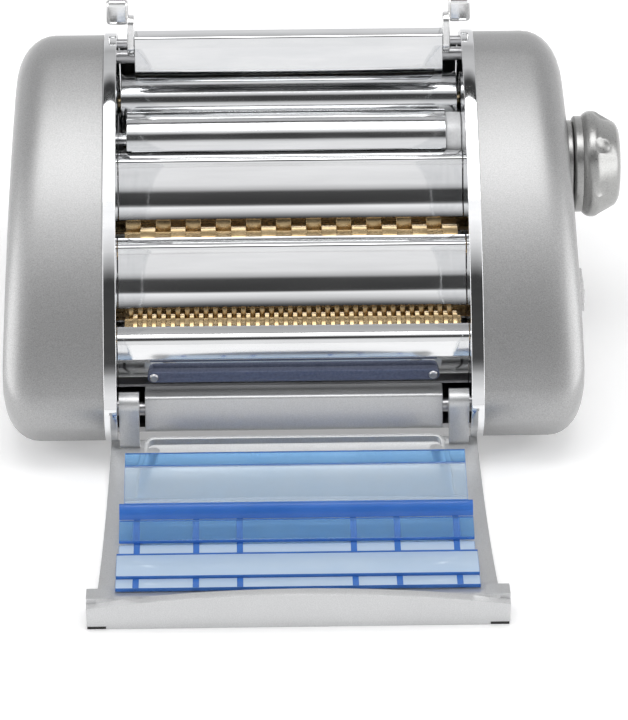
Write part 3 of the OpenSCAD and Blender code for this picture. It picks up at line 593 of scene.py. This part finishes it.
def refined(frame: dict, node: str, width: float, least_deg: float = REFINE_DEG) -> bpy.types.Object:
    """Copies a CAD node, merges its triangles and rounds its edges.

    Args:
        frame: the loaded frame.
        node: name of the CAD node.
        width: bevel width in metres, or 0.
        least_deg: edges flatter than this are left alone.

    Returns:
        The refined piece.
    """
    mesh = bmesh.new()
    mesh.from_mesh(frame["nodes"][node].data)
    bmesh.ops.remove_doubles(mesh, verts=mesh.verts, dist=MERGE_DISTANCE)
    bmesh.ops.dissolve_limit(mesh, angle_limit=math.radians(FLAT_DEG), verts=mesh.verts, edges=mesh.edges)
    if width:
        bevel_sharp(mesh, width, least_deg)
    return new_piece(f"{node}_refined", mesh)


# ---------------------------------------------------------------------------
# The machine
# ---------------------------------------------------------------------------


@dataclass
class SubAssembly:
    """A group of pieces that are dressed together."""

    frame: dict
    finishes: Finishes

    def body_of(self, node: str) -> str:
        """Finds the body that carries a CAD node."""
        return self.frame["nodes"][node]["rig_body"]

    def dress(self, node: str, finish: str) -> None:
        """Gives a CAD node a finish and leaves its shape."""
        self.finishes.put(self.frame["nodes"][node], finish)
        LOG.info("%s keeps its shape, finish %s", node, finish)

    def stand_for(self, piece: bpy.types.Object, node: str, finish: str) -> None:
        """Puts a piece in the place of a CAD node.

        Args:
            piece: the new piece.
            node: the CAD node that it replaces.
            finish: name of its finish.
        """
        self.finishes.put(piece, finish)
        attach(piece, self.body_of(node))
        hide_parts(node)
        LOG.info("%s replaces %s, finish %s, %d faces", piece.name, node, finish, len(piece.data.polygons))

    def refine(self, node: str, finish: str, width_mm: float, least_deg: float = REFINE_DEG) -> None:
        """Replaces a CAD node by its refined copy.

        Args:
            node: name of the CAD node.
            finish: name of its finish.
            width_mm: bevel width in millimetres.
            least_deg: edges flatter than this are left alone.
        """
        self.stand_for(refined(self.frame, node, width_mm * MM, least_deg), node, finish)


@dataclass
class Body(SubAssembly):
    """Casings, rails, frames and covers."""

    casing_edge_mm: float = 0.5
    rail_edge_mm: float = 1.1
    sheet_edge_mm: float = 0.35
    block_edge_mm: float = 0.6
    screw_edge_mm: float = 0.15

    def build(self) -> None:
        """Dresses the body."""
        for side in ("left", "right"):
            self.refine(f"casing_{side}", "casing_paint", self.casing_edge_mm, CORNER_DEG)
            self.refine(f"rail_{side}", "chrome", self.rail_edge_mm)
            self.dress(f"side_frame_{side}", "chrome")
        self.refine("rear_cover", "satin_steel", self.sheet_edge_mm)
        self.refine("front_apron", "door_paint", self.sheet_edge_mm)
        self.refine("exit_bar", "dark_blue", self.block_edge_mm)
        self.refine("exit_bar_screws", "steel", self.screw_edge_mm)
        self.refine("rubber_feet", "rubber", self.block_edge_mm)
        for node, finish in {
            "base_plate": "steel", "tie_rods": "steel", "tie_rod_nuts": "steel", "hinge_pins": "steel",
            "flap_pivot_pins": "steel", "casing_posts": "gear_plastic", "motor": "black_plastic",
            "motor_cradle": "steel", "idler_axles": "steel", "inner_chute": "steel", "frame_bushes": "bush_brass",
            "cord_inlet": "black_plastic",
        }.items():
            self.dress(node, finish)


@dataclass(frozen=True)
class GuidePlate:
    """Curved chrome guide above a cutter pair: flat lip, hollow face and rolled top."""

    place: str
    crease: tuple[float, float]
    lip: tuple[float, float]
    hollow_mm: float
    back: tuple[float, float]
    steep_deg: float = 15.0
    flat_deg: float = 52.0
    roll_mm: float = 1.8
    roll_deg: float = 88.0
    sheet_mm: float = 1.1
    edge_mm: float = 0.25
    half_mm: float = 74.3
    face_steps: int = 24
    roll_steps: int = 8

    @staticmethod
    def turns(first_deg: float, last_deg: float, steps: int) -> list[float]:
        """Gives the angles in radians that step evenly from one angle to another."""
        return [math.radians(first_deg + (last_deg - first_deg) * n / steps) for n in range(steps + 1)]

    def path(self) -> Profile:
        """Gives the outer surface of the plate.

        Returns:
            Its points from the lip to the back, in millimetres of the drawing.
        """
        flat = math.radians(self.flat_deg)
        centre = (self.crease[0] - self.hollow_mm * math.cos(flat), self.crease[1] + self.hollow_mm * math.sin(flat))
        face = [
            (centre[0] + self.hollow_mm * math.cos(turn), centre[1] - self.hollow_mm * math.sin(turn))
            for turn in self.turns(self.flat_deg, self.steep_deg, self.face_steps)
        ]
        steep = math.radians(self.steep_deg)
        top = (face[-1][0] + self.roll_mm * math.cos(steep), face[-1][1] - self.roll_mm * math.sin(steep))
        roll = [
            (top[0] - self.roll_mm * math.cos(turn), top[1] + self.roll_mm * math.sin(turn))
            for turn in self.turns(self.steep_deg, self.roll_deg, self.roll_steps)[1:]
        ]
        return [self.lip, *face, *roll, self.back]

    def build(self, parts: SubAssembly) -> None:
        """Makes the plate and puts it in the place of its node.

        Args:
            parts: the sub-assembly that dresses it.
        """
        path = [drawn(*point) for point in self.path()]
        node = f"{self.place}_guide_plate"
        plate = extruded(f"{node}_rolled", thickened(path, self.sheet_mm * MM), across(-self.half_mm),
                         across(self.half_mm), self.edge_mm * MM)
        parts.stand_for(plate, node, "plate_chrome")


@dataclass
class Rollers(SubAssembly):
    """Smooth rollers, cutters, scrapers, guide plates and gears."""

    journal: float = 4.0 * MM
    smooth_radius: float = 13.0 * MM
    smooth_steps: int = 128
    smooth_edge: float = 0.5 * MM
    cutter_edge_mm: float = 0.18
    plate_edge_mm: float = 0.4
    bushing_edge_mm: float = 0.7
    # axis, left and right end of each barrel, in millimetres of the drawing
    smooth_rear: tuple[float, float, float, float] = (69.5, 79.0, -73.8, 73.8)
    smooth_front: tuple[float, float, float, float] = (41.2, 79.0, -70.9, 67.8)
    plates: tuple[GuidePlate, ...] = (
        GuidePlate("upper", (10.2, 65.9), (5.6, 63.2), 30.0, (27.2, 82.8)),
        GuidePlate("middle", (-30.0, 50.0), (-35.2, 47.0), 30.1, (-12.4, 66.9)),
    )

    def roller(self, node: str, barrel: tuple[float, float, float, float]) -> None:
        """Turns one smooth roller.

        Args:
            node: CAD node of the roller.
            barrel: Y and Z of its axis and X of its two ends, in millimetres of the drawing.
        """
        low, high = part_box(node)
        centre, left, right = drawn(*barrel[:2]), across(barrel[2]), across(barrel[3])
        profile = [(0.0, low[0]), (self.journal, low[0]), (self.journal, left), (self.smooth_radius, left),
                   (self.smooth_radius, right), (self.journal, right), (self.journal, high[0]), (0.0, high[0])]
        piece = turned(f"{node}_turned", profile, centre, self.smooth_steps, self.smooth_edge)
        self.stand_for(piece, node, "roller_chrome")

    def build(self) -> None:
        """Dresses the rollers and what guides the dough."""
        self.roller("smooth_roller_rear", self.smooth_rear)
        self.roller("smooth_roller_front", self.smooth_front)
        for pair in ("coarse", "fine"):
            for place in ("front", "rear"):
                self.refine(f"{pair}_cutter_{place}", f"{pair}_{place}_brass", self.cutter_edge_mm, CORNER_DEG)
                self.dress(f"{pair}_comb_{place}", "steel")
                self.dress(f"{pair}_{place}_gear", "steel")
        for plate in self.plates:
            plate.build(self)
        self.refine("lower_guide_plate", "plate_chrome", self.plate_edge_mm)
        for node in ("smooth_scrapers", "smooth_rear_gear", "smooth_front_gear", "motor_pinion"):
            self.dress(node, "steel")
        for node in ("idler_gear_upper", "idler_gear_lower"):
            self.dress(node, "gear_plastic")
        self.refine("roller_bushing", "bushing_white", self.bushing_edge_mm)
        for node in ("bearing_block_left", "bearing_block_right"):
            self.dress(node, "steel")


@dataclass
class Controls(SubAssembly):
    """Thickness knob, its bearing and shaft, and the power switch."""

    knob_edge_mm: float = 0.6
    knob_least_deg: float = 28.0
    housing_edge_mm: float = 0.5

    def build(self) -> None:
        """Dresses the controls."""
        self.refine("thickness_knob", "knob_silver", self.knob_edge_mm, self.knob_least_deg)
        self.refine("knob_bearing", "knob_silver", self.knob_edge_mm)
        self.dress("regulator_shaft", "steel")
        self.refine("switch_housing", "black_plastic", self.housing_edge_mm)
        self.refine("power_rocker", "switch_white", self.knob_edge_mm)


@dataclass
class Flap(SubAssembly):
    """Feed flap with its two lever tabs."""

    # distances from the middle plane, and (y, z, radius) circles, in millimetres of the drawing
    ear_in: float = 67.1
    ear_out: float = 70.3
    ear_edge: float = 0.5
    ear_circles: tuple[tuple[float, float, float], ...] = ((70.0, 111.0, 5.6), (71.6, 119.5, 4.6))
    tab_in: float = 69.4
    tab_out: float = 79.4
    tab_edge: float = 2.0
    tab_circles: tuple[tuple[float, float, float], ...] = ((72.3, 122.6, 2.7), (72.8, 129.6, 2.5))
    flap_edge: float = 0.4

    def tab(self, side: int) -> list[bpy.types.Object]:
        """Makes the ear and the lever tab of one side.

        Args:
            side: 1 for the right, -1 for the left.

        Returns:
            The pieces of the side.
        """
        shapes = (
            ("ear", self.ear_circles, self.ear_in, self.ear_out, self.ear_edge),
            ("tab", self.tab_circles, self.tab_in, self.tab_out, self.tab_edge),
        )
        return [
            hulled(f"{name}_{side}", [(*drawn(y, z), radius * MM) for y, z, radius in circles],
                   across(side * inside), across(side * outside), edge * MM)
            for name, circles, inside, outside, edge in shapes
        ]

    def build(self) -> None:
        """Dresses the flap and makes its tabs."""
        self.refine("feed_flap", "chrome", self.flap_edge)
        tabs = joined("feed_flap_tabs_rounded", self.tab(-1) + self.tab(1))
        self.stand_for(tabs, "feed_flap_tabs", "tab_chrome")


@dataclass
class Slide(SubAssembly):
    """Clear stepped slide that lies on the open door."""

    sheet_mm: float = 1.6
    sheet_edge_mm: float = 0.15
    rim_mm: float = 2.2
    rib_half_mm: float = 1.3
    rib_edge_mm: float = 0.1
    deep: int = 1  # place of the deep tint
    ribs: tuple[float, ...] = (-66.0, -41.5, -23.5, 23.5, 41.5, 66.0)
    # the two pale finishes in this list are painted sheen: paler copies of the clear blue for the sky that the flat
    # steps reflect
    tints_and_painted_sheens: tuple[str, ...] = ("clear_blue", "deep_blue", "pale_blue_painted_sheen", "clear_pale_painted_sheen")
    # (half width, tint, upper surface from back to front) of each step, in millimetres of the drawing; tint 2 and
    # tint 3 are painted sheen
    steps: tuple[tuple[float, int, tuple[tuple[float, float], ...]], ...] = (
        (71.4, 0, ((-95.6, 17.0), (-103.6, 16.7))),
        (71.4, 3, ((-103.7, 16.6), (-109.0, 16.4), (-125.8, 15.0))),
        (73.4, 1, ((-126.0, 15.2), (-128.0, 14.6), (-131.2, 10.7))),
        (73.4, 0, ((-131.3, 10.7), (-143.6, 10.0))),
        (73.4, 2, ((-143.9, 8.0), (-151.4, 8.5))),
        (74.2, 1, ((-151.4, 10.1), (-152.3, 10.3))),
        (74.2, 2, ((-152.4, 10.1), (-168.8, 13.2))),
        (74.2, 2, ((-169.1, 11.9), (-176.6, 13.6))),
    )
    # outlines of the ribs below the middle steps and below the front step
    rib_outlines: tuple[tuple[tuple[float, float], ...], ...] = (
        ((-128.6, 12.6), (-131.4, 8.9), (-143.5, 8.3), (-143.9, 8.06), (-151.0, 8.55), (-151.0, 6.9),
         (-144.0, 6.1), (-131.0, 5.0), (-128.6, 4.9)),
        ((-169.2, 11.98), (-176.4, 13.63), (-176.4, 12.2), (-169.2, 10.5)),
    )

    def step(self, number: int, half: float, tint: int, surface: tuple[tuple[float, float], ...]) -> bpy.types.Object:
        """Makes one step of the slide.

        Args:
            number: number of the step from the back.
            half: half of its width in millimetres.
            tint: place of its finish among the tints.
            surface: its upper surface from back to front.

        Returns:
            The step, with the deep tint on its narrow faces.
        """
        outline = thickened([drawn(*point) for point in reversed(surface)], self.sheet_mm * MM)
        step = extruded(f"step_{number}", outline, across(-half), across(half), self.sheet_edge_mm * MM)
        for face in step.data.polygons:
            corners = [step.data.vertices[index].co for index in face.vertices]
            rim = sum((a - b).length for a, b in zip(corners, corners[1:] + corners[:1]))
            face.material_index = self.deep if 2.0 * face.area / rim < self.rim_mm * MM else tint
        return step

    def rib(self, number: int, x: float) -> bpy.types.Object:
        """Makes one rib under the steps.

        Args:
            number: which of the rib outlines it has.
            x: distance of its middle from the middle plane in millimetres.

        Returns:
            The rib, in the deep tint.
        """
        outline = [drawn(*point) for point in self.rib_outlines[number]]
        left, right = across(x - self.rib_half_mm), across(x + self.rib_half_mm)
        rib = extruded(f"rib_{number}_{x:.0f}", outline, left, right, self.rib_edge_mm * MM)
        for face in rib.data.polygons:
            face.material_index = self.deep
        return rib

    def build(self) -> None:
        """Makes the slide and puts it in the place of its node."""
        pieces = [self.step(number, *step) for number, step in enumerate(self.steps)]
        pieces += [self.rib(number, x) for number in range(len(self.rib_outlines)) for x in self.ribs]
        slide = joined("pasta_slide_stepped", pieces)
        self.stand_for(slide, "pasta_slide", self.tints_and_painted_sheens[0])
        # the further finishes are the deep blue and the two pale finishes, which are painted sheen
        for tint in self.tints_and_painted_sheens[1:]:
            slide.data.materials.append(self.finishes.made[tint])


@dataclass
class Door(SubAssembly):
    """Front door with its pads."""

    lip_half_mm: float = 86.0
    lip_round_mm: float = 3.2
    lip_low_mm: float = 9.0
    reach_play_mm: float = 0.05
    round_steps: int = 5
    edge_mm: float = 0.5

    def round_edges(self, door: bpy.types.Object) -> None:
        """Rounds the upper corners of the lip and then every sharp edge.

        Args:
            door: the copy of the door, not yet dressed.
        """
        mesh = bmesh.new()
        mesh.from_mesh(door.data)
        middle, reach = across(0.0), (self.lip_half_mm - self.reach_play_mm) * MM
        corners = [
            edge for edge in mesh.edges
            if all(abs(vert.co.x - middle) > reach and vert.co.z > self.lip_low_mm * MM for vert in edge.verts)
            and abs(edge.verts[0].co.y - edge.verts[1].co.y) > MM
        ]
        bmesh.ops.bevel(mesh, geom=corners, offset=self.lip_round_mm * MM, segments=self.round_steps, profile=0.5,
                        affect="EDGES", material=-1, clamp_overlap=True)
        bevel_sharp(mesh, self.edge_mm * MM, REFINE_DEG)
        shaded(mesh, door.data)
        LOG.info("%d corners of the lip are rounded", len(corners))

    def build(self) -> None:
        """Dresses the door."""
        door = refined(self.frame, "front_door", 0.0)
        self.round_edges(door)
        self.stand_for(door, "front_door", "door_paint")
        self.dress("door_pads", "rubber")


# ---------------------------------------------------------------------------
# Light, floor and camera
# ---------------------------------------------------------------------------


@dataclass
class Studio:
    """Plain white studio round the machine."""

    elevation_deg: float = 39.0
    azimuth_deg: float = -1.1
    distance: float = 1.75
    pixels_per_mm: float = 2.375
    frame_width_px: float = 628.0
    sensor_mm: float = 36.0
    sight_end: float = 20.0
    target: Vector = field(default_factory=lambda: Vector((across(8.5), *drawn(-69.4, 44.8))))
    lit_point: Vector = field(default_factory=lambda: Vector((across(0.0), *drawn(0.0, 50.0))))
    sky_strength: float = 1.0
    sky_blue: float = 1.01
    # (angle above the front horizon in degrees, brightness); the two dark bands stand for the
    # black cards of a studio, which give the chrome its dark lines
    sky_bands: tuple[tuple[float, float], ...] = (
        (0.0, 0.95), (30.0, 0.9), (38.0, 0.55), (42.0, 0.07), (62.0, 0.05), (69.0, 0.75), (76.0, 1.15),
        (96.0, 1.15), (99.0, 0.04), (113.0, 0.04), (117.0, 0.6), (135.0, 0.45), (150.0, 0.75), (180.0, 0.8),
    )
    floor_half: float = 6.0
    floor_level: float = 0.93
    floor_rough: float = 0.7
    floor_gloss: float = 0.1
    floor_glow: float = 0.22
    # (name, distance from the middle plane, y and z in millimetres of the drawing, size, watts)
    lamps: tuple[tuple[str, float, float, float, tuple[float, float], float], ...] = (
        ("top_light", 0.0, 100.0, 1300.0, (1.2, 0.6), 6.0),
        ("left_light", -1200.0, -250.0, 420.0, (0.9, 0.9), 5.0),
        ("right_light", 1200.0, -250.0, 420.0, (0.9, 0.9), 5.0),
    )

    def camera(self) -> None:
        """Places the camera."""
        rise, turn = math.radians(self.elevation_deg), math.radians(self.azimuth_deg)
        away = Vector((math.sin(turn) * math.cos(rise), -math.cos(turn) * math.cos(rise), math.sin(rise)))
        data = bpy.data.cameras.new("camera")
        data.sensor_fit = "HORIZONTAL"
        data.sensor_width = self.sensor_mm
        data.lens = self.pixels_per_mm * self.distance * 1000.0 / self.frame_width_px * data.sensor_width
        camera = bpy.data.objects.new("camera", data)
        camera.location = self.target + away * self.distance
        camera.rotation_euler = (-away).to_track_quat("-Z", "Y").to_euler()
        data.clip_end = self.sight_end
        bpy.context.scene.collection.objects.link(camera)
        bpy.context.scene.camera = camera

    def lamp(self, name: str, place: Vector, size: tuple[float, float], power: float) -> None:
        """Adds one soft area lamp that points at the machine.

        Args:
            name: name of the lamp.
            place: where it hangs.
            size: width and height.
            power: power in watts.
        """
        data = bpy.data.lights.new(name, "AREA")
        data.shape = "RECTANGLE"
        data.size, data.size_y = size
        data.energy = power
        lamp = bpy.data.objects.new(name, data)
        lamp.visible_camera = False
        lamp.location = place
        lamp.rotation_euler = (self.lit_point - place).to_track_quat("-Z", "Y").to_euler()
        bpy.context.scene.collection.objects.link(lamp)

    def world(self) -> None:
        """Makes a pale world with dark bands, which is plain white behind the machine."""
        world = bpy.data.worlds.new("studio")
        bpy.context.scene.world = world
        world.use_nodes = True
        nodes, links = world.node_tree.nodes, world.node_tree.links
        sky = nodes["Background"]
        place = nodes.new("ShaderNodeTexCoord")
        split = nodes.new("ShaderNodeSeparateXYZ")
        front = nodes.new("ShaderNodeMath")
        front.operation = "MULTIPLY"
        front.inputs[1].default_value = -1.0
        rise = nodes.new("ShaderNodeMath")
        rise.operation = "ARCTAN2"
        share = nodes.new("ShaderNodeMath")
        share.operation = "DIVIDE"
        share.inputs[1].default_value = math.pi
        ramp = nodes.new("ShaderNodeValToRGB")
        stops = ramp.color_ramp.elements
        while len(stops) > 1:
            stops.remove(stops[-1])
        for number, (degrees, level) in enumerate(self.sky_bands):
            stop = stops[0] if number == 0 else stops.new(degrees / 180.0)
            stop.position = degrees / 180.0
            stop.color = (level, level, level * self.sky_blue, 1.0)
        links.new(place.outputs["Generated"], split.inputs[0])
        links.new(split.outputs["Y"], front.inputs[0])
        links.new(split.outputs["Z"], rise.inputs[0])
        links.new(front.outputs[0], rise.inputs[1])
        links.new(rise.outputs[0], share.inputs[0])
        links.new(share.outputs[0], ramp.inputs["Fac"])
        links.new(ramp.outputs["Color"], sky.inputs["Color"])
        sky.inputs["Strength"].default_value = self.sky_strength
        white = nodes.new("ShaderNodeBackground")
        white.inputs["Color"].default_value = (1.0, 1.0, 1.0, 1.0)
        mix = nodes.new("ShaderNodeMixShader")
        links.new(seen_by(world.node_tree, ("Is Camera Ray", "Is Transmission Ray")), mix.inputs[0])
        links.new(sky.outputs[0], mix.inputs[1])
        links.new(white.outputs[0], mix.inputs[2])
        links.new(mix.outputs[0], nodes["World Output"].inputs["Surface"])

    def floor(self) -> None:
        """Lays a white floor that keeps the machine's shadow."""
        mesh = bmesh.new()
        bmesh.ops.create_grid(mesh, x_segments=1, y_segments=1, size=self.floor_half)
        floor = new_piece("floor", mesh)
        material = bpy.data.materials.new("floor_white")
        material.use_nodes = True
        nodes, links = material.node_tree.nodes, material.node_tree.links
        shader = nodes["Principled BSDF"]
        shader.inputs["Base Color"].default_value = (self.floor_level, self.floor_level, self.floor_level, 1.0)
        shader.inputs["Roughness"].default_value = self.floor_rough
        shader.inputs["Specular IOR Level"].default_value = self.floor_gloss
        glow = nodes.new("ShaderNodeMath")
        glow.operation = "MULTIPLY"
        glow.inputs[1].default_value = self.floor_glow
        rays = seen_by(material.node_tree, ("Is Camera Ray", "Is Glossy Ray", "Is Transmission Ray"))
        links.new(rays, glow.inputs[0])
        shader.inputs["Emission Color"].default_value = (1.0, 1.0, 1.0, 1.0)
        links.new(glow.outputs[0], shader.inputs["Emission Strength"])
        floor.data.materials.append(material)

    def build(self) -> None:
        """Sets the whole studio."""
        bpy.context.scene.view_settings.view_transform = "Standard"
        self.camera()
        self.world()
        self.floor()
        for name, x, y, z, size, power in self.lamps:
            self.lamp(name, Vector((across(x), *drawn(y, z))), size, power)


def main() -> None:
    """Builds the studio and dresses the machine."""
    logging.basicConfig(level=logging.INFO, format="%(message)s")
    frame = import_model()
    finishes = Finishes()
    finishes.build()
    Studio().build()
    for assembly in (Body, Rollers, Controls, Flap, Door, Slide):
        assembly(frame, finishes).build()


if __name__ == "__main__":
    main()
